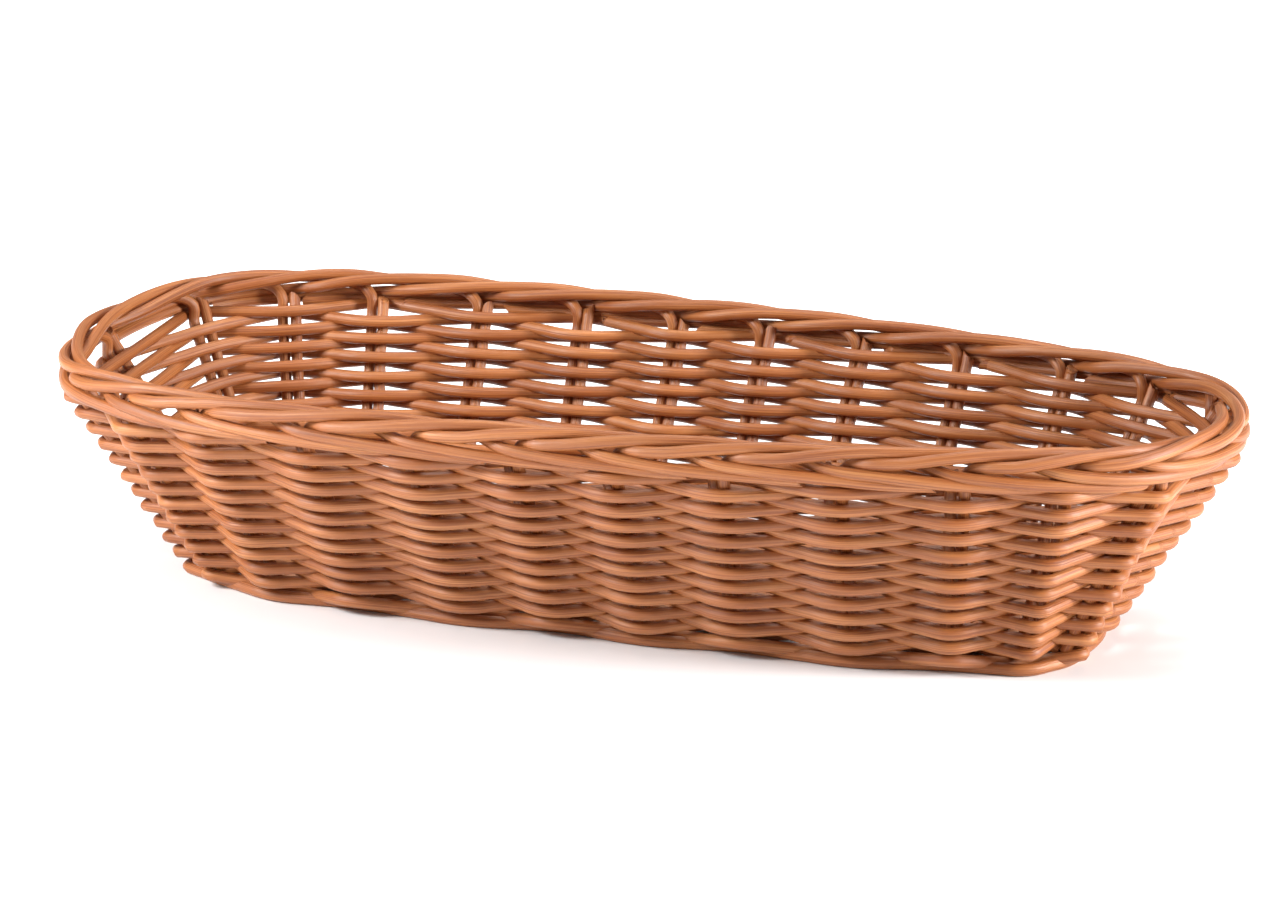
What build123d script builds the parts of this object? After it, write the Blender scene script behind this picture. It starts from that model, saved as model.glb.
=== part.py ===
"""Long oval bread basket, hand woven from round plastic rattan strand. Millimetres, +Z up.

The origin is on the surface the basket stands on, under its centre. The long axis is X.
Stakes are numbered counterclockwise, seen from above, from the +X end of the oval.
"""
from build123d import *
import os
from math import cos, radians, tan

# Overall shape: two superellipses, joined by walls that lean out
TOP_HALF_LENGTH = 186.0
TOP_HALF_WIDTH = 85.0
TOP_SQUARENESS = 2.8
BASE_HALF_LENGTH = 141.0
BASE_HALF_WIDTH = 40.0
BASE_SQUARENESS = 4.1
TOP_HEIGHT = 75.0

# Hand work: the rim is wider at the -X end, tilts a little and is twisted a little
RIM_TAPER = 0.08
RIM_TILT = -2.5
RIM_TWIST = -2.5
FAR_SIDE_LIFT = 2.5

# Strands
STRAND = 3.6
STAKE = 3.4
STAKE_GAP = 0.1
JOIN_GAP = 0.2

# Side stakes, as (place at the base, place at the top): across X on the sides, across Y at the ends
SIDE_STAKES = [(14.0, 15.0), (43.0, 48.0), (78.0, 82.0), (107.0, 118.0), (128.0, 147.0)]
END_STAKES = [(22.0, 46.0), (0.0, 0.0)]
END_INSET = (3.0, 0.0)

# Wall weave: plain in-and-out rows, each one strand round the basket, and a foot strand under them
ROW_COUNT = 22
FIRST_ROW_HEIGHT = 4.8
ROW_PITCH = 2.72
WEAVE_OFFSET = 4.7
WEAVE_BEND_RADIUS = 7.0
ROW_UNDER_STICKS = (-2.2, 1.85)
LOWEST_OVER_STICKS = 8.9
FOOT_OUTSIDE = (4.2, 1.2)

# Base: sticks in pairs, the long ones over the cross ones, woven round with oval rings
CROSS_STICK_HEIGHT = 5.35
LONG_STICK_HEIGHT = 8.85
LONG_STICK_PITCH = 3.55
FAN_START = 103.0
FAN_MITRE = 0.8
BASE_RING_COUNT = 8
BASE_RING_LIFT = 3.55
BASE_RING_CLEARANCE = 3.0
BASE_BEND_RADIUS = 7.0
INNERMOST_RING = [
    (110.0, 0.0), (104.0, 7.4), (97.0, 10.8), (88.0, 12.4), (78.0, 12.6), (43.0, 12.6), (14.0, 12.6),
]

# Border: (stake pitches past its own stake, distance outside the wall line, height)
BORDER_LEVEL = 65.0
BORDER_PATH = [
    (0.1, 1.4, 69.7), (0.28, 4.0, 70.5), (0.55, 5.1, 71.1), (0.85, 4.7, 72.2), (1.2, 3.5, 73.4),
    (1.6, 1.6, 73.7), (2.05, -0.6, 73.2), (2.35, -1.7, 72.2), (2.62, -1.2, 70.7), (2.95, 3.9, 68.5),
    (3.4, 5.0, 67.1), (4.0, 4.6, 65.6), (4.5, 3.7, 64.9), (4.82, 2.3, 64.6),
]
BORDER_BEND_RADIUS = 14.0
CUT_STAKE_TOP = 68.5


def superellipse_y(x, half_length, half_width, squareness):
    """Height of a superellipse above its long axis at x."""
    return half_width * (1 - abs(x / half_length) ** squareness) ** (1 / squareness)


def all_round(quarter):
    """A quarter's points, the first on the long axis, mirrored into the whole oval."""
    upper = quarter + [(-x, y) for x, y in reversed(quarter)]
    return upper + [(x, -y) for x, y in reversed(upper[1:-1])]


def stake_points(column, half_length, half_width, squareness):
    """The stake places on one outline, counterclockwise from the +X end."""
    middle = (half_length - END_INSET[column], 0.0)
    end = END_STAKES[0][column]
    quarter = [middle, (superellipse_y(end, half_width, half_length, squareness), end)]
    for place in reversed(SIDE_STAKES):
        x = place[column]
        quarter.append((x, superellipse_y(x, half_length, half_width, squareness)))
    return all_round(quarter)


BASE_STAKES = stake_points(0, BASE_HALF_LENGTH, BASE_HALF_WIDTH, BASE_SQUARENESS)
TOP_STAKES = stake_points(1, TOP_HALF_LENGTH, TOP_HALF_WIDTH, TOP_SQUARENESS)
STAKE_COUNT = len(TOP_STAKES)


def hand_woven(point):
    """A point moved by the basket's own unevenness, which grows towards the rim."""
    share = min(max(point.Z / TOP_HEIGHT, 0), 1)
    x = point.X / TOP_HALF_LENGTH
    y = point.Y / TOP_HALF_WIDTH
    lift = share * (RIM_TILT * y + RIM_TWIST * x * y)
    return Vector(point.X, point.Y * (1 - RIM_TAPER * x * share), point.Z + lift)


def wall_point(place, height, outside=0.0, level=None):
    """Point on the wall's middle surface at a place counted in stakes, moved outwards.

    With a level, the plan is the wall's at that level, whatever the point's own height.
    """
    share = (height if level is None else level) / TOP_HEIGHT
    first = int(place // 1)
    f = place - first
    corners = []
    for step in (-1, 0, 1, 2):
        low = Vector(*BASE_STAKES[(first + step) % STAKE_COUNT])
        high = Vector(*TOP_STAKES[(first + step) % STAKE_COUNT])
        corners.append(low + (high - low) * share)
    before, start, end, after = corners
    start_slope = (end - before) * 0.5
    end_slope = (after - start) * 0.5
    point = (
        start * (2 * f**3 - 3 * f**2 + 1) + start_slope * (f**3 - 2 * f**2 + f)
        + end * (3 * f**2 - 2 * f**3) + end_slope * (f**3 - f**2)
    )
    heading = (
        start * (6 * f**2 - 6 * f) + start_slope * (3 * f**2 - 4 * f + 1)
        + end * (6 * f - 6 * f**2) + end_slope * (3 * f**2 - 2 * f)
    ).normalized()
    outward = Vector(heading.Y, -heading.X)
    return hand_woven(point + outward * outside + Vector(0, 0, height))


def bend_radii(points, largest, closed):
    """Largest radius that fits each corner of a path, up to the given one."""
    radii = []
    count = len(points)
    for i in range(0 if closed else 1, count if closed else count - 1):
        run_in = points[i] - points[i - 1]
        run_out = points[(i + 1) % count] - points[i]
        turn = radians(run_in.get_angle(run_out))
        fitting = 0.45 * min(run_in.length, run_out.length) / tan(max(turn, 0.01) / 2)
        radii.append(min(largest, fitting))
    return radii


def ease_corners(points, largest):
    """Corners of a closed path moved out, so that the arcs pass where the corners were."""
    eased = []
    for i, radius in enumerate(bend_radii(points, largest, closed=True)):
        run_in = (points[i] - points[i - 1]).normalized()
        run_out = (points[(i + 1) % len(points)] - points[i]).normalized()
        turn = radians(run_in.get_angle(run_out))
        inset = radius * (1 / cos(turn / 2) - 1)
        eased.append(points[i] - (run_out - run_in).normalized() * inset)
    return eased


def sweep_strand(points, bend, diameter):
    """Round strand along straight runs joined by tangent arcs, added to the open part."""
    with BuildLine() as path:
        FilletPolyline(*points, radius=bend_radii(points, bend, closed=False))
    wire = path.wire()
    with BuildSketch(Plane(wire @ 0, z_dir=wire % 0)) as section:
        Circle(diameter / 2)
    sweep(section.sketch, path=wire, transition=Transition.RIGHT)


def rod_between(start, end, diameter):
    """Straight rod from one point to another, added to the open part."""
    with BuildSketch(Plane(start, z_dir=end - start)) as section:
        Circle(diameter / 2)
    extrude(section.sketch, amount=(end - start).length)


def save(piece, name):
    """Label a finished piece and write its file."""
    piece.label = name
    export_step(piece, f"parts/{name}.step")


def beside(start, end):
    """Half the distance between the rods of a pair, level and across their run."""
    run = end - start
    return Vector(-run.Y, run.X).normalized() * (STAKE + STAKE_GAP) / 2


def sideways(stake):
    """From the middle of an upright pair to the rod further round, along the wall."""
    along = wall_point(stake + 0.01, BORDER_LEVEL) - wall_point(stake - 0.01, BORDER_LEVEL)
    return along.normalized() * (STAKE + STAKE_GAP) / 2


def place_in_quarter(stake):
    """How many stakes a stake is from the nearer end of the oval."""
    return min(stake % HALF_WAY, HALF_WAY - stake % HALF_WAY)


def make_stake_pair(stake):
    """Two uprights: one is cut off above the weave, the other runs on into the border."""
    side = sideways(stake)
    foot = wall_point(stake, CROSS_STICK_HEIGHT)
    top = wall_point(stake, BORDER_LEVEL)
    border = [
        wall_point(stake + pitches, height, outside, BORDER_LEVEL)
        for pitches, outside, height in BORDER_PATH
    ]
    with BuildPart() as pair:
        rod_between(foot - side, wall_point(stake, CUT_STAKE_TOP) - side, STAKE)
        sweep_strand([foot + side, top + side, border[0] + side] + border[1:], BORDER_BEND_RADIUS, STAKE)
    save(pair.part, f"stake_pair_{stake + 1:02d}")


def make_ring(points, bend, name):
    """One strand right round the basket, through the given points, its ends meeting in a butt join."""
    corners = ease_corners(points, bend)
    join = (corners[0] + corners[-1]) / 2
    clear = (corners[0] - corners[-1]).normalized() * JOIN_GAP / 2
    with BuildPart() as strand:
        sweep_strand([join + clear] + corners + [join - clear], bend, STRAND)
    save(strand.part, name)


def row_point(row, stake):
    """Where a wall row passes a stake pair: outside it or inside it, clear of the base sticks."""
    height = FIRST_ROW_HEIGHT + row * ROW_PITCH
    height += FAR_SIDE_LIFT * height / TOP_HEIGHT * max(TOP_STAKES[stake][1] / TOP_HALF_WIDTH, 0)
    if (stake + row) % 2 == 1:
        return wall_point(stake, height, WEAVE_OFFSET)
    if row == 0:
        outside, height = ROW_UNDER_STICKS
        return wall_point(stake, height, outside)
    return wall_point(stake, max(height, LOWEST_OVER_STICKS), -WEAVE_OFFSET)


def spoke(stake, share):
    """Point on a base stick, from the innermost ring (0) to the outermost (1)."""
    inner_height = LONG_STICK_HEIGHT if place_in_quarter(stake) < 2 else CROSS_STICK_HEIGHT
    inner = Vector(*SPOKE_STARTS[stake], inner_height)
    outer = wall_point(stake, 0, -BASE_RING_CLEARANCE) + Vector(0, 0, CROSS_STICK_HEIGHT)
    return inner + (outer - inner) * share


def base_ring_point(ring, stake):
    """Where a base ring passes a stick pair: over it or under it."""
    lift = BASE_RING_LIFT if (stake + ring) % 2 == 0 else -BASE_RING_LIFT
    return spoke(stake, ring / (BASE_RING_COUNT - 1)) + Vector(0, 0, lift)


def stick_end(stake):
    """Where a base stick meets the wall."""
    return wall_point(stake, CROSS_STICK_HEIGHT, -STAKE / 2)


def make_cross_sticks():
    """Pairs of straight rods from side to side."""
    with BuildPart() as sticks:
        for stake in range(HALF_WAY):
            if place_in_quarter(stake) > 3:
                start, end = stick_end(stake), stick_end(STAKE_COUNT - stake)
                for side in (beside(start, end), -beside(start, end)):
                    rod_between(start + side, end + side, STAKE)
    save(sticks.part, "cross_sticks")


def make_corner_sticks():
    """Pairs of short rods that fan out to the corner stakes."""
    with BuildPart() as sticks:
        for stake in range(STAKE_COUNT):
            if place_in_quarter(stake) in (2, 3):
                start, end = spoke(stake, 0), stick_end(stake)
                for side in (beside(start, end), -beside(start, end)):
                    rod_between(start + side, end + side, STAKE)
    save(sticks.part, "corner_sticks")


def make_long_sticks():
    """Pairs of rods from end to end: they lie side by side, and the outer pairs fan out."""
    with BuildPart() as sticks:
        for pair in (-1, 0, 1):
            left, right = stick_end(HALF_WAY - pair), stick_end(pair % STAKE_COUNT)
            y = 2 * pair * LONG_STICK_PITCH
            for rod in (-0.5, 0.5):
                x = FAN_START - pair * rod * FAN_MITRE
                corner = Vector(x, y + rod * LONG_STICK_PITCH, LONG_STICK_HEIGHT)
                opposite = Vector(-x, corner.Y, corner.Z)
                apart = beside(Vector(FAN_START, y), right) * 2 * rod
                apart_left = Vector(-apart.X, apart.Y)
                path = [left + apart_left, opposite, corner, right + apart]
                sweep_strand(path, BORDER_BEND_RADIUS, STAKE)
    save(sticks.part, "long_sticks")


HALF_WAY = STAKE_COUNT // 2
SPOKE_STARTS = all_round(INNERMOST_RING)
STAKES = range(STAKE_COUNT)

os.makedirs("parts", exist_ok=True)
foot = [wall_point(stake, STRAND / 2, FOOT_OUTSIDE[stake % 2]) for stake in STAKES]
make_ring(foot, WEAVE_BEND_RADIUS, "foot_ring")
for row in range(ROW_COUNT):
    make_ring([row_point(row, stake) for stake in STAKES], WEAVE_BEND_RADIUS, f"wall_row_{row + 1:02d}")
for stake in STAKES:
    make_stake_pair(stake)
for ring in range(BASE_RING_COUNT):
    ring_points = [base_ring_point(ring, stake) for stake in STAKES]
    make_ring(ring_points, BASE_BEND_RADIUS, f"base_ring_{ring + 1}")
make_cross_sticks()
make_corner_sticks()
make_long_sticks()
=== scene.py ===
"""Looks of a long oval bread basket, hand woven from round plastic rattan strand.

Lengths are millimetres while a strand is laid out, and metres once it is a mesh. Stakes are
numbered counterclockwise, seen from above, from the +X end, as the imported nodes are.
"""
import math
import random

import bpy
import numpy as np
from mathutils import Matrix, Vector

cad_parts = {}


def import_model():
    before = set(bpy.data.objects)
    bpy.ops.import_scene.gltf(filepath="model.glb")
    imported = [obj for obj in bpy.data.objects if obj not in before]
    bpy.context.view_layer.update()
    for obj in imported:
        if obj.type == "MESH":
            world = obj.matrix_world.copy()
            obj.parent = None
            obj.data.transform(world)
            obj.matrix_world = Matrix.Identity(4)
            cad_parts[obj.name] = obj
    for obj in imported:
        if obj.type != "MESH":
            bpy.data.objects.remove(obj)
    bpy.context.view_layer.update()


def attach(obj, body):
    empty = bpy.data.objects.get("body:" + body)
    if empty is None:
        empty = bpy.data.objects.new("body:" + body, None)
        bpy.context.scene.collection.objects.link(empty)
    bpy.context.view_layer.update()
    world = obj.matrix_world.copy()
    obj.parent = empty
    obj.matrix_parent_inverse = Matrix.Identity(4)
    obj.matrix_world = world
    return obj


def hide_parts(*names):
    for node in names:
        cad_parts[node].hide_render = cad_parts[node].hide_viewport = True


MM = 0.001

# Overall shape: two superellipses, joined by walls that lean out
TOP_HALF_LENGTH = 186.0
TOP_HALF_WIDTH = 85.0
TOP_SQUARENESS = 2.8
BASE_HALF_LENGTH = 141.0
BASE_HALF_WIDTH = 40.0
BASE_SQUARENESS = 4.1
TOP_HEIGHT = 75.0

# Hand work: the rim is wider at one end, tilts a little and is twisted a little
RIM_TAPER = 0.08
RIM_TILT = -2.5
RIM_TWIST = -2.5
FAR_SIDE_LIFT = 2.5

# Strands
STRAND = 3.6
STAKE = 3.4
SQUEEZE = 1.06  # strands are drawn this much thicker, as they fill the weave when pressed together
STAKE_GAP = 0.1
TUBE_SIDES = 14
STEP = 2.0

# Side stakes, as (place at the base, place at the top): across X on the sides, across Y at the ends
SIDE_STAKES = [(14.0, 15.0), (43.0, 48.0), (78.0, 82.0), (107.0, 118.0), (128.0, 147.0)]
END_STAKES = [(22.0, 46.0), (0.0, 0.0)]
END_INSET = (3.0, 0.0)

# Wall weave: rows of one strand each, with a foot strand under them
ROW_COUNT = 22
FIRST_ROW_HEIGHT = 4.8
ROW_PITCH = 2.72
WEAVE_OFFSET = 4.7
WEAVE_BEND = 14.0
SHARP_BEND = 2.8  # longest rounding at a sharp corner
ROW_SLIP = 0.45  # a row passes a stake this much lower outside it, and higher inside it
ROW_UNDER_STICKS = (-2.2, 1.85)
LOWEST_OVER_STICKS = 8.9
FOOT_OUTSIDE = (4.2, 1.2)

# Base
CROSS_STICK_HEIGHT = 5.35
LONG_STICK_HEIGHT = 8.85
LONG_STICK_PITCH = 3.55
FAN_START = 103.0
FAN_MITRE = 0.8
BASE_RING_COUNT = 8
BASE_RING_LIFT = 3.55
BASE_RING_CLEARANCE = 3.0
BASE_BEND = 4.0
INNERMOST_RING = [
    (110.0, 0.0), (104.0, 7.4), (97.0, 10.8), (88.0, 12.4), (78.0, 12.6), (43.0, 12.6), (14.0, 12.6),
]

# Border: (stake pitches past its own stake, distance outside the wall line, height)
BORDER_LEVEL = 65.0
BORDER_PATH = [
    (0.1, 1.4, 69.7), (0.28, 4.0, 70.5), (0.55, 5.1, 71.1), (0.85, 4.7, 72.2), (1.2, 3.5, 73.4),
    (1.6, 1.6, 73.7), (2.05, -0.6, 73.2), (2.35, -1.7, 72.2), (2.62, -1.2, 70.7), (2.95, 3.9, 68.5),
    (3.4, 5.0, 67.1), (4.0, 4.6, 65.6), (4.5, 3.7, 64.9), (4.82, 2.3, 64.6),
]
CUT_STAKE_TOP = 68.5

# Colours by value: cloudy body, painted shade in the grooves and painted sheen on the ridges between
# them, tint from strand to strand
BODY_COLOURS = [(0.3, (0.37, 0.113, 0.028)), (0.55, (0.45, 0.155, 0.042)), (0.75, (0.53, 0.21, 0.068))]
# Painted shade in the grooves (below one) and painted sheen on the ridges (above one, whitish)
GROOVE_SHADE_AND_SHEEN = [(0.36, (0.66, 0.54, 0.45)), (0.5, (0.94, 0.92, 0.90)), (0.64, (1.14, 1.20, 1.30))]
STRAND_TINTS = [(0.0, (0.86, 0.82, 0.78)), (1.0, (1.0, 1.0, 1.0))]

# Studio, in metres and watts: place, point aimed at, size and power of each light
SURROUNDINGS = 0.3
SOFTBOXES = {
    "left_key": ((-0.52, -0.38, 0.42), (-0.05, 0, 0.03), (0.25, 0.25), 6.6),
    "right_key": ((0.95, -0.02, 0.34), (0.12, 0, 0.03), (0.25, 0.25), 14.0),
    "overhead": ((0, 0.45, 1.2), (0, 0, 0.03), (1.1, 0.7), 10),
}
FLOOR_REACH = 6.0
FLOOR_COLOUR = (0.90, 0.91, 0.92, 1)
# Painted light on the floor: an emission from none near the basket's foot to full strength further out
FLOOR_PAINTED_LIGHT_RANGE = (0.06, 0.26)
FLOOR_PAINTED_LIGHT = 0.75

# Camera, in degrees, metres and millimetres of lens
CAMERA_AZIMUTH = 18.11
CAMERA_ELEVATION = 17.33
CAMERA_DISTANCE = 1.442
CAMERA_LENS = 131.5
CAMERA_TARGET = (-0.0017, 0.0, 0.0467)


# ---------------------------------------------------------------- shape of the basket

def superellipse_y(x, half_length, half_width, squareness):
    """Height of a superellipse above its long axis at x."""
    return half_width * (1 - abs(x / half_length) ** squareness) ** (1 / squareness)


def all_round(quarter):
    """A quarter's points, the first on the long axis, mirrored into the whole oval."""
    upper = quarter + [(-x, y) for x, y in reversed(quarter)]
    return upper + [(x, -y) for x, y in reversed(upper[1:-1])]


def stake_points(column, half_length, half_width, squareness):
    """The stake places on one outline, counterclockwise from the +X end."""
    middle = (half_length - END_INSET[column], 0.0)
    end = END_STAKES[0][column]
    quarter = [middle, (superellipse_y(end, half_width, half_length, squareness), end)]
    for place in reversed(SIDE_STAKES):
        x = place[column]
        quarter.append((x, superellipse_y(x, half_length, half_width, squareness)))
    return all_round(quarter)


BASE_STAKES = np.array(stake_points(0, BASE_HALF_LENGTH, BASE_HALF_WIDTH, BASE_SQUARENESS))
TOP_STAKES = np.array(stake_points(1, TOP_HALF_LENGTH, TOP_HALF_WIDTH, TOP_SQUARENESS))
STAKE_COUNT = len(TOP_STAKES)
HALF_WAY = STAKE_COUNT // 2
SPOKE_STARTS = np.array(all_round(INNERMOST_RING))


def wall_points(places, heights, outsides, level=None):
    """Points on the wall's middle surface, at places counted in stakes, moved outwards.

    With a level, the plan is the wall's at that height, whatever the points' own heights.
    """
    places, heights, outsides = np.broadcast_arrays(
        np.asarray(places, float), np.asarray(heights, float), np.asarray(outsides, float))
    first = np.floor(places).astype(int)
    f = (places - first)[:, None]
    share = (np.full_like(heights, level) if level is not None else heights)[:, None] / TOP_HEIGHT
    corners = []
    for step in (-1, 0, 1, 2):
        i = (first + step) % STAKE_COUNT
        corners.append(BASE_STAKES[i] + (TOP_STAKES[i] - BASE_STAKES[i]) * share)
    before, start, end, after = corners
    start_slope = (end - before) / 2
    end_slope = (after - start) / 2
    plan = (
        start * (2 * f**3 - 3 * f**2 + 1) + start_slope * (f**3 - 2 * f**2 + f)
        + end * (3 * f**2 - 2 * f**3) + end_slope * (f**3 - f**2))
    heading = (
        start * (6 * f**2 - 6 * f) + start_slope * (3 * f**2 - 4 * f + 1)
        + end * (6 * f - 6 * f**2) + end_slope * (3 * f**2 - 2 * f))
    heading /= np.linalg.norm(heading, axis=1)[:, None]
    plan = plan + np.stack([heading[:, 1], -heading[:, 0]], 1) * outsides[:, None]
    return hand_woven(np.column_stack([plan, heights]))


def hand_woven(points):
    """Points moved by the basket's own unevenness: taper, tilt and twist grow towards the rim."""
    points = points.copy()
    share = np.clip(points[:, 2] / TOP_HEIGHT, 0, 1)
    x = points[:, 0] / TOP_HALF_LENGTH
    y = points[:, 1] / TOP_HALF_WIDTH
    points[:, 1] *= 1 - RIM_TAPER * x * share
    points[:, 2] += share * (RIM_TILT * y + RIM_TWIST * x * y)
    return points


def wall_point(place, height, outside=0.0, level=None):
    """One point on the wall."""
    return wall_points([place], [height], [outside], level)[0]


def unit(vectors):
    """Vectors scaled to length one."""
    return vectors / np.maximum(np.linalg.norm(vectors, axis=-1, keepdims=True), 1e-9)


def sideways(stake):
    """From the middle of a stake pair to the rod further round, along the wall."""
    along = wall_point(stake + 0.01, BORDER_LEVEL) - wall_point(stake - 0.01, BORDER_LEVEL)
    return unit(along) * (STAKE + STAKE_GAP) / 2


def place_in_quarter(stake):
    """How many stakes a stake is from the nearer end of the oval."""
    return min(stake % HALF_WAY, HALF_WAY - stake % HALF_WAY)


def spoke(stake, share):
    """Point on a base stick, from the innermost ring (0) to the outermost (1)."""
    inner_height = LONG_STICK_HEIGHT if place_in_quarter(stake) < 2 else CROSS_STICK_HEIGHT
    inner = np.array([*SPOKE_STARTS[stake], inner_height])
    outer = wall_point(stake, 0, -BASE_RING_CLEARANCE) + np.array([0, 0, CROSS_STICK_HEIGHT])
    return inner + (outer - inner) * share


def stick_end(stake):
    """Where a base stick meets the wall."""
    return wall_point(stake, CROSS_STICK_HEIGHT, -STAKE / 2)


# ---------------------------------------------------------------- paths of strands

def corner_cut(back, on, bend):
    """How far from a corner its rounding starts: a sharper turn is rounded over less."""
    turn = math.degrees(math.acos(np.clip(-np.dot(unit(back), unit(on)), -1, 1)))
    wanted = np.interp(turn, [30, 75], [bend, min(0.42 * bend, SHARP_BEND)])
    return min(wanted, 0.45 * min(np.linalg.norm(back), np.linalg.norm(on)))


def rounded(corners, bend, closed):
    """Straight runs between the corners, with each corner rounded over a length each way."""
    corners = np.asarray(corners, float)
    count = len(corners)
    points = []
    for i in range(count):
        if not closed and i in (0, count - 1):
            points.append([corners[i]])
            continue
        back = corners[i - 1] - corners[i]
        on = corners[(i + 1) % count] - corners[i]
        cut = corner_cut(back, on, bend)
        start = corners[i] + unit(back) * cut
        end = corners[i] + unit(on) * cut
        lift = (corners[i] - (start + end) / 2) / 2
        t = np.linspace(0, 1, 7)[:, None]
        peak = corners[i] + lift
        points.append(start * (1 - t) ** 2 + 2 * peak * t * (1 - t) + end * t**2)
    path = np.concatenate(points)
    return np.vstack([path, path[:1]]) if closed else path


def evenly(path, step):
    """A path cut into equal steps."""
    lengths = np.concatenate([[0], np.cumsum(np.linalg.norm(np.diff(path, axis=0), axis=1))])
    count = max(int(round(lengths[-1] / step)), 2)
    at = np.linspace(0, lengths[-1], count + 1)
    return np.stack([np.interp(at, lengths, path[:, i]) for i in range(3)], 1)


def smooth_through(knots, step):
    """A smooth curve through rows of numbers, by distance between them."""
    knots = np.asarray(knots, float)
    scale = np.array([30.0, 1.0, 1.0])[: knots.shape[1]]
    gaps = np.linalg.norm(np.diff(knots * scale, axis=0), axis=1)
    at = np.concatenate([[0], np.cumsum(gaps)])
    slopes = np.zeros_like(knots)
    rises = np.diff(knots, axis=0) / gaps[:, None]
    slopes[1:-1] = (rises[:-1] * gaps[1:, None] + rises[1:] * gaps[:-1, None]) / (
        gaps[1:] + gaps[:-1])[:, None]
    slopes[0], slopes[-1] = rises[0], rises[-1]
    wanted = np.linspace(0, at[-1], int(at[-1] / step) + 2)
    i = np.clip(np.searchsorted(at, wanted, side="right") - 1, 0, len(gaps) - 1)
    g = gaps[i][:, None]
    t = ((wanted - at[i]) / gaps[i])[:, None]
    return (
        knots[i] * (2 * t**3 - 3 * t**2 + 1) + slopes[i] * g * (t**3 - 2 * t**2 + t)
        + knots[i + 1] * (3 * t**2 - 2 * t**3) + slopes[i + 1] * g * (t**3 - t**2))


def wander(count, closed, amount, waves, draw):
    """Slow random drift along a strand, the same at both ends of a closed one."""
    t = np.linspace(0, 1, count)
    drift = np.zeros((count, 3))
    for _ in range(5):
        cycles = draw.randint(1, waves) if closed else draw.uniform(0.4, waves)
        phases = [draw.uniform(0, 2 * math.pi) for _ in range(3)]
        for axis in range(3):
            drift[:, axis] += np.sin(2 * math.pi * cycles * t + phases[axis])
    return drift * amount / math.sqrt(5)


# ---------------------------------------------------------------- meshes of strands

def frames_along(points, closed):
    """Tangent, and two directions across, carried along a path without twisting."""
    if closed:
        tangents = unit(np.roll(points, -1, 0) - np.roll(points, 1, 0))
    else:
        tangents = unit(np.gradient(points, axis=0))
    across = np.zeros_like(points)
    start = np.cross(tangents[0], [0.0, 0.0, 1.0])
    if np.linalg.norm(start) < 0.1:
        start = np.cross(tangents[0], [0.0, 1.0, 0.0])
    across[0] = unit(start)
    for i in range(1, len(points)):
        turned = across[i - 1] - tangents[i] * np.dot(across[i - 1], tangents[i])
        across[i] = unit(turned)
    up = np.cross(tangents, across)
    if closed:
        last = across[-1] - tangents[0] * np.dot(across[-1], tangents[0])
        twist = math.atan2(np.dot(last, up[0]), np.dot(last, across[0]))
        back = -twist * np.arange(len(points)) / len(points)
        cos, sin = np.cos(back)[:, None], np.sin(back)[:, None]
        across, up = across * cos + up * sin, up * cos - across * sin
    return tangents, across, up


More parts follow.
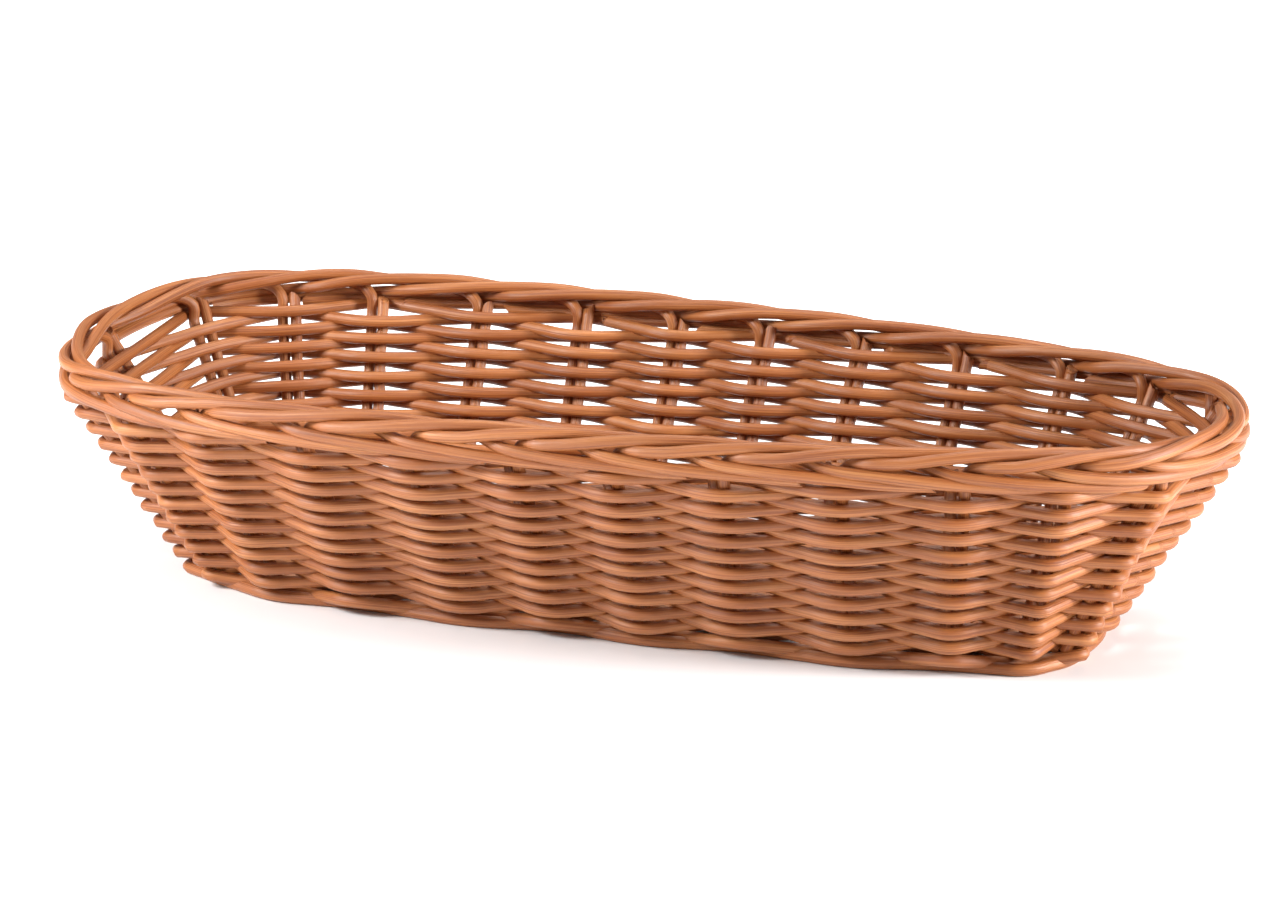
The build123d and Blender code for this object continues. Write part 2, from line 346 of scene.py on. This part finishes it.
class StrandMesh:
    """Gathers round strands into one mesh, with where each point lies on its strand."""

    def __init__(self, seed):
        self.draw = random.Random(seed)
        self.vertices = []
        self.faces = []
        self.caps = []
        self.strand = []
        self.tone = []
        self.count = 0

    def add(self, path, diameter, closed=False, cuts=(0.0, 0.0), drift=0.15, waves=14):
        """One strand along a path. A cut is how far an end's face leans back, in diameters."""
        draw = self.draw
        points = evenly(path, STEP)
        if closed:
            points = points[:-1]
        rings = len(points)
        ease = np.ones(rings) if closed else np.clip(np.minimum(
            np.arange(rings), np.arange(rings)[::-1]) / 6, 0, 1)
        points = points + wander(rings, closed, drift, waves, draw) * ease[:, None]
        tangents, across, up = frames_along(points, closed)
        swell = 1 + 0.018 * wander(rings, closed, 1.0, 2 * waves, draw)[:, 0]
        angles = np.linspace(0, 2 * math.pi, TUBE_SIDES, endpoint=False)
        cos, sin = np.cos(angles), np.sin(angles)
        ridge = 1 + 0.012 * np.cos(3 * angles + draw.uniform(0, 6))
        radius = (diameter * SQUEEZE / 2 * swell)[:, None] * ridge[None, :]
        ring_points = (
            points[:, None, :]
            + across[:, None, :] * (radius * cos)[:, :, None]
            + up[:, None, :] * (radius * sin)[:, :, None])
        if not closed:
            for ring, cut, sign in ((0, cuts[0], 1), (rings - 1, cuts[1], -1)):
                lean = cut * diameter * (1 + np.cos(angles - draw.uniform(0, 2 * math.pi))) / 2
                ring_points[ring] += tangents[ring][None, :] * (sign * lean)[:, None]
        travelled = np.arange(rings) * STEP + draw.uniform(0, 5000)
        self.vertices.append(ring_points.reshape(-1, 3))
        self.strand.append(np.stack([
            np.tile(cos, rings), np.tile(sin, rings), np.repeat(travelled, TUBE_SIDES)], 1))
        self.tone.append(np.full(rings * TUBE_SIDES, draw.uniform(0, 1)))
        a = np.arange(rings if closed else rings - 1)
        b = (a + 1) % rings
        for side in range(TUBE_SIDES):
            after = (side + 1) % TUBE_SIDES
            self.faces.append(self.count + np.stack([
                a * TUBE_SIDES + side, b * TUBE_SIDES + side,
                b * TUBE_SIDES + after, a * TUBE_SIDES + after], 1)[:, ::-1])
        if not closed:
            first = self.count + np.arange(TUBE_SIDES)
            self.caps.append(first.tolist())
            self.caps.append((first + (rings - 1) * TUBE_SIDES)[::-1].tolist())
        self.count += rings * TUBE_SIDES

    def build(self, name, material):
        """The gathered strands as one object, in metres."""
        mesh = bpy.data.meshes.new(name)
        faces = np.concatenate(self.faces).tolist() + self.caps
        mesh.from_pydata((np.concatenate(self.vertices) * MM).tolist(), [], faces)
        strand = mesh.attributes.new("strand", "FLOAT_VECTOR", "POINT")
        strand.data.foreach_set("vector", np.concatenate(self.strand).astype(np.float32).ravel())
        tone = mesh.attributes.new("tone", "FLOAT", "POINT")
        tone.data.foreach_set("value", np.concatenate(self.tone).astype(np.float32))
        mesh.polygons.foreach_set("use_smooth", [True] * len(mesh.polygons))
        sharp = {tuple(sorted(edge)) for cap in self.caps for edge in zip(cap, cap[1:] + cap[:1])}
        for edge in mesh.edges:
            edge.use_edge_sharp = tuple(sorted(edge.vertices)) in sharp
        mesh.materials.append(material)
        mesh.validate()
        piece = bpy.data.objects.new(name, mesh)
        bpy.context.scene.collection.objects.link(piece)
        return piece


def finish_piece(strands, name, nodes, material):
    """A piece that stands for its CAD nodes and moves with the basket."""
    piece = strands.build(name, material)
    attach(piece, "root")
    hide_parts(*nodes)
    return piece


# ---------------------------------------------------------------- the basket's pieces

def row_place(row, stake):
    """Height and distance outside the wall where a row passes a stake pair."""
    height = FIRST_ROW_HEIGHT + row * ROW_PITCH
    height += FAR_SIDE_LIFT * height / TOP_HEIGHT * max(TOP_STAKES[stake][1] / TOP_HALF_WIDTH, 0)
    if (stake + row) % 2 == 1:
        return height, WEAVE_OFFSET
    if row == 0:
        return ROW_UNDER_STICKS[1], ROW_UNDER_STICKS[0]
    return max(height, LOWEST_OVER_STICKS), -WEAVE_OFFSET


def make_wall_row(row, material):
    """One weaving strand: outside every second stake pair, inside the ones between."""
    draw = random.Random(100 + row)
    slip = ROW_SLIP * min(row, ROW_COUNT - 1 - row, 3) / 3
    corners = []
    for stake in range(STAKE_COUNT):
        height, outside = row_place(row, stake)
        height -= slip * outside / WEAVE_OFFSET
        corners.append(wall_point(
            stake, height + draw.uniform(-0.25, 0.25), outside + draw.uniform(-0.1, 0.3)))
    strands = StrandMesh(200 + row)
    path = rounded(ease_corners(corners, WEAVE_BEND), WEAVE_BEND, closed=True)
    strands.add(path, STRAND, closed=True)
    return finish_piece(strands, f"weaver_{row + 1:02d}", [f"wall_row_{row + 1:02d}"], material)


def make_foot(material):
    """The lowest strand, which the basket stands on."""
    corners = [wall_point(stake, STRAND / 2, FOOT_OUTSIDE[stake % 2]) for stake in range(STAKE_COUNT)]
    strands = StrandMesh(199)
    path = rounded(ease_corners(corners, WEAVE_BEND), WEAVE_BEND, closed=True)
    strands.add(path, STRAND, closed=True, drift=0.06)
    return finish_piece(strands, "foot_weaver", ["foot_ring"], material)


def ease_corners(corners, bend):
    """Corners of a closed path moved out, so that the rounded path passes where they were."""
    eased = []
    count = len(corners)
    for i, corner in enumerate(corners):
        back = corners[i - 1] - corner
        on = corners[(i + 1) % count] - corner
        cut = corner_cut(back, on, bend)
        eased.append(corner - (unit(back) + unit(on)) * cut / 4)
    return eased


def make_stake_pair(stake, material):
    """Two uprights: one is cut off above the weave, the other runs on into the border."""
    draw = random.Random(300 + stake)
    side = sideways(stake)
    foot = wall_point(stake, CROSS_STICK_HEIGHT)
    splay = draw.uniform(0.0, 0.35)
    cut_top = wall_point(stake, CUT_STAKE_TOP + draw.uniform(-1.0, 1.2), draw.uniform(-1.2, -0.2))
    strands = StrandMesh(400 + stake)
    strands.add(np.array([foot - side, cut_top - side * (1 + splay)]), STAKE, cuts=(0, 1.0))

    knots = [(0.0, 0.0, 62.0), (0.0, 0.0, 67.0)]
    shift, push, lift = draw.uniform(-0.05, 0.05), draw.uniform(-0.3, 0.3), draw.uniform(-0.3, 0.3)
    for pitches, outside, height in BORDER_PATH:
        share = min(pitches, 1)
        knots.append((
            pitches + shift * share, outside + push + draw.uniform(-0.15, 0.15),
            height + lift * share + draw.uniform(-0.15, 0.15)))
    bent = smooth_through(knots, 1.2)
    border = wall_points(stake + bent[:, 0], bent[:, 2], bent[:, 1], BORDER_LEVEL)
    fade = np.clip(1 - bent[:, 0] / 0.3, 0, 1)[:, None]
    border = border + side * fade
    upright = np.linspace(foot + side, border[0], 24)[:-1]
    strands.add(np.vstack([upright, border]), STAKE, cuts=(0, 1.1), drift=0.1, waves=6)
    name = f"stake_pair_{stake + 1:02d}"
    return finish_piece(strands, f"stakes_{stake + 1:02d}", [name], material)


def make_base_ring(ring, material):
    """One weaving strand of the base: over every second stick pair, under the ones between."""
    corners = []
    for stake in range(STAKE_COUNT):
        lift = BASE_RING_LIFT if (stake + ring) % 2 == 0 else -BASE_RING_LIFT
        corners.append(spoke(stake, ring / (BASE_RING_COUNT - 1)) + np.array([0, 0, lift]))
    strands = StrandMesh(500 + ring)
    path = rounded(ease_corners(corners, BASE_BEND), BASE_BEND, closed=True)
    strands.add(path, STRAND, closed=True, drift=0.08)
    return finish_piece(strands, f"base_weaver_{ring + 1}", [f"base_ring_{ring + 1}"], material)


def beside(start, end):
    """Half the distance between the rods of a lying pair, across their run."""
    run = unit(end - start)
    return unit(np.array([-run[1], run[0], 0.0])) * (STAKE + STAKE_GAP) / 2


def make_cross_sticks(material):
    """Pairs of straight rods from side to side."""
    strands = StrandMesh(600)
    for stake in range(HALF_WAY):
        if place_in_quarter(stake) > 3:
            start, end = stick_end(stake), stick_end(STAKE_COUNT - stake)
            for side in (beside(start, end), -beside(start, end)):
                strands.add(np.array([start + side, end + side]), STAKE)
    return finish_piece(strands, "base_cross_sticks", ["cross_sticks"], material)


def make_corner_sticks(material):
    """Pairs of short rods that fan out to the corner stakes."""
    strands = StrandMesh(601)
    for stake in range(STAKE_COUNT):
        if place_in_quarter(stake) in (2, 3):
            start, end = spoke(stake, 0), stick_end(stake)
            for side in (beside(start, end), -beside(start, end)):
                strands.add(np.array([start + side, end + side]), STAKE)
    return finish_piece(strands, "base_corner_sticks", ["corner_sticks"], material)


def make_long_sticks(material):
    """Pairs of rods from end to end: they lie side by side, and the outer pairs fan out."""
    strands = StrandMesh(602)
    for pair in (-1, 0, 1):
        left, right = stick_end(HALF_WAY - pair), stick_end(pair % STAKE_COUNT)
        y = 2 * pair * LONG_STICK_PITCH
        for rod in (-0.5, 0.5):
            x = FAN_START - pair * rod * FAN_MITRE
            corner = np.array([x, y + rod * LONG_STICK_PITCH, LONG_STICK_HEIGHT])
            apart = beside(np.array([FAN_START, y, 0]), right) * 2 * rod
            path = [left + apart * [-1, 1, 1], corner * [-1, 1, 1], corner, right + apart]
            strands.add(rounded(path, 6.0, closed=False), STAKE, drift=0.05)
    return finish_piece(strands, "base_long_sticks", ["long_sticks"], material)


# ---------------------------------------------------------------- material

def rattan_material():
    """Tan plastic rattan: fine grooves along the strand, with painted shade in them and painted sheen
    between them, cloudy colour and a satin sheen.
    """
    material = bpy.data.materials.new("plastic_rattan")
    material.use_nodes = True
    nodes, links = material.node_tree.nodes, material.node_tree.links
    shader = nodes["Principled BSDF"]
    shader.inputs["Specular IOR Level"].default_value = 0.5
    shader.inputs["Coat Weight"].default_value = 0.18
    shader.inputs["Coat Roughness"].default_value = 0.42

    strand = nodes.new("ShaderNodeAttribute")
    strand.attribute_name = "strand"
    tone = nodes.new("ShaderNodeAttribute")
    tone.attribute_name = "tone"

    def noise(scale, detail, roughness):
        """Noise on the strand's own coordinates: round it twice, and along it."""
        mapping = nodes.new("ShaderNodeMapping")
        mapping.inputs["Scale"].default_value = scale
        texture = nodes.new("ShaderNodeTexNoise")
        texture.inputs["Scale"].default_value = 1.0
        texture.inputs["Detail"].default_value = detail
        texture.inputs["Roughness"].default_value = roughness
        links.new(strand.outputs["Vector"], mapping.inputs["Vector"])
        links.new(mapping.outputs["Vector"], texture.inputs["Vector"])
        return texture.outputs["Fac"]

    grooves = noise((5.5, 5.5, 0.022), 3.0, 0.6)
    clouds = noise((0.7, 0.7, 0.03), 2.0, 0.5)

    def ramp(value, stops):
        """Colours by value."""
        node = nodes.new("ShaderNodeValToRGB")
        for element, (at, colour) in zip(node.color_ramp.elements, (stops[0], stops[-1])):
            element.position, element.color = at, (*colour, 1)
        for at, colour in stops[1:-1]:
            node.color_ramp.elements.new(at).color = (*colour, 1)
        links.new(value, node.inputs["Fac"])
        return node.outputs["Color"]

    def mix(mode, amount, first, second):
        """Two colours mixed."""
        node = nodes.new("ShaderNodeMix")
        node.data_type = "RGBA"
        node.blend_type = mode
        node.inputs[0].default_value = amount
        links.new(first, node.inputs[6])
        links.new(second, node.inputs[7])
        return node.outputs[2]

    body = ramp(clouds, BODY_COLOURS)
    # Painted shade in the grooves and painted sheen on the ridges, multiplied into the body colour
    groove_shade_and_sheen = ramp(grooves, GROOVE_SHADE_AND_SHEEN)
    shade = ramp(tone.outputs["Fac"], STRAND_TINTS)
    colour = mix("MULTIPLY", 1.0, mix("MULTIPLY", 1.0, body, groove_shade_and_sheen), shade)
    links.new(colour, shader.inputs["Base Color"])

    gloss = nodes.new("ShaderNodeMapRange")
    gloss.inputs["From Min"].default_value = 0.3
    gloss.inputs["From Max"].default_value = 0.7
    gloss.inputs["To Min"].default_value = 0.52
    gloss.inputs["To Max"].default_value = 0.36
    links.new(grooves, gloss.inputs["Value"])
    links.new(gloss.outputs["Result"], shader.inputs["Roughness"])

    bump = nodes.new("ShaderNodeBump")
    bump.inputs["Strength"].default_value = 0.8
    bump.inputs["Distance"].default_value = 0.0003
    links.new(grooves, bump.inputs["Height"])
    links.new(bump.outputs["Normal"], shader.inputs["Normal"])
    return material


# ---------------------------------------------------------------- studio

def make_floor():
    """Plain pale floor, far larger than the basket, with painted light: it glows more further from the
    basket so it stays white, and not at all round the basket's foot.
    """
    mesh = bpy.data.meshes.new("floor")
    corners = [(-FLOOR_REACH, -FLOOR_REACH, 0), (FLOOR_REACH, -FLOOR_REACH, 0),
               (FLOOR_REACH, FLOOR_REACH, 0), (-FLOOR_REACH, FLOOR_REACH, 0)]
    mesh.from_pydata(corners, [], [(0, 1, 2, 3)])
    floor = bpy.data.objects.new("floor", mesh)
    bpy.context.scene.collection.objects.link(floor)
    material = bpy.data.materials.new("studio_white_painted_light")
    material.use_nodes = True
    shader = material.node_tree.nodes["Principled BSDF"]
    shader.inputs["Base Color"].default_value = FLOOR_COLOUR
    shader.inputs["Roughness"].default_value = 0.55
    shader.inputs["Specular IOR Level"].default_value = 0.2
    shader.inputs["Emission Color"].default_value = (1, 1, 1, 1)
    nodes, links = material.node_tree.nodes, material.node_tree.links
    place = nodes.new("ShaderNodeTexCoord")
    distance = nodes.new("ShaderNodeVectorMath")
    distance.operation = "LENGTH"
    # Painted light: the floor glows, from none near the foot to full further out
    painted_floor_light = nodes.new("ShaderNodeMapRange")
    painted_floor_light.inputs["From Min"].default_value, painted_floor_light.inputs["From Max"].default_value = FLOOR_PAINTED_LIGHT_RANGE
    painted_floor_light.inputs["To Max"].default_value = FLOOR_PAINTED_LIGHT
    narrow = nodes.new("ShaderNodeMapping")
    narrow.inputs["Scale"].default_value = (0.42, 1.0, 1.0)
    links.new(place.outputs["Object"], narrow.inputs["Vector"])
    links.new(narrow.outputs["Vector"], distance.inputs[0])
    links.new(distance.outputs["Value"], painted_floor_light.inputs["Value"])
    links.new(painted_floor_light.outputs["Result"], shader.inputs["Emission Strength"])
    mesh.materials.append(material)


def look_at(item, target):
    """Turns a camera or a light towards a point."""
    direction = np.asarray(target, float) - np.asarray(item.location, float)
    item.rotation_euler = Vector(direction).to_track_quat("-Z", "Y").to_euler()


def add_softbox(name, location, target, size, power):
    """A rectangular area light, turned towards its target."""
    light = bpy.data.lights.new(name, "AREA")
    light.shape = "RECTANGLE"
    light.size, light.size_y = size
    light.energy = power
    item = bpy.data.objects.new(name, light)
    item.location = location
    look_at(item, target)
    bpy.context.scene.collection.objects.link(item)


def make_studio():
    """White surroundings and soft lights round the basket."""
    world = bpy.data.worlds.new("studio")
    world.use_nodes = True
    background = world.node_tree.nodes["Background"]
    background.inputs["Color"].default_value = (1, 1, 1, 1)
    background.inputs["Strength"].default_value = SURROUNDINGS
    scene = bpy.context.scene
    scene.world = world
    scene.view_settings.view_transform = "Standard"
    for name, light in SOFTBOXES.items():
        add_softbox(name, *light)


def make_camera():
    """Seen from the front right, a little above, with a long lens."""
    camera = bpy.data.cameras.new("camera")
    camera.sensor_width = 36.0
    camera.lens = CAMERA_LENS
    item = bpy.data.objects.new("camera", camera)
    azimuth, elevation = math.radians(CAMERA_AZIMUTH), math.radians(CAMERA_ELEVATION)
    away = np.array([
        math.sin(azimuth) * math.cos(elevation), -math.cos(azimuth) * math.cos(elevation),
        math.sin(elevation)])
    target = np.array(CAMERA_TARGET)
    item.location = target + away * CAMERA_DISTANCE
    look_at(item, target)
    bpy.context.scene.collection.objects.link(item)
    bpy.context.scene.camera = item


def main():
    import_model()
    rattan = rattan_material()
    make_foot(rattan)
    for row in range(ROW_COUNT):
        make_wall_row(row, rattan)
    for stake in range(STAKE_COUNT):
        make_stake_pair(stake, rattan)
    for ring in range(BASE_RING_COUNT):
        make_base_ring(ring, rattan)
    make_cross_sticks(rattan)
    make_corner_sticks(rattan)
    make_long_sticks(rattan)
    make_floor()
    make_studio()
    make_camera()


main()
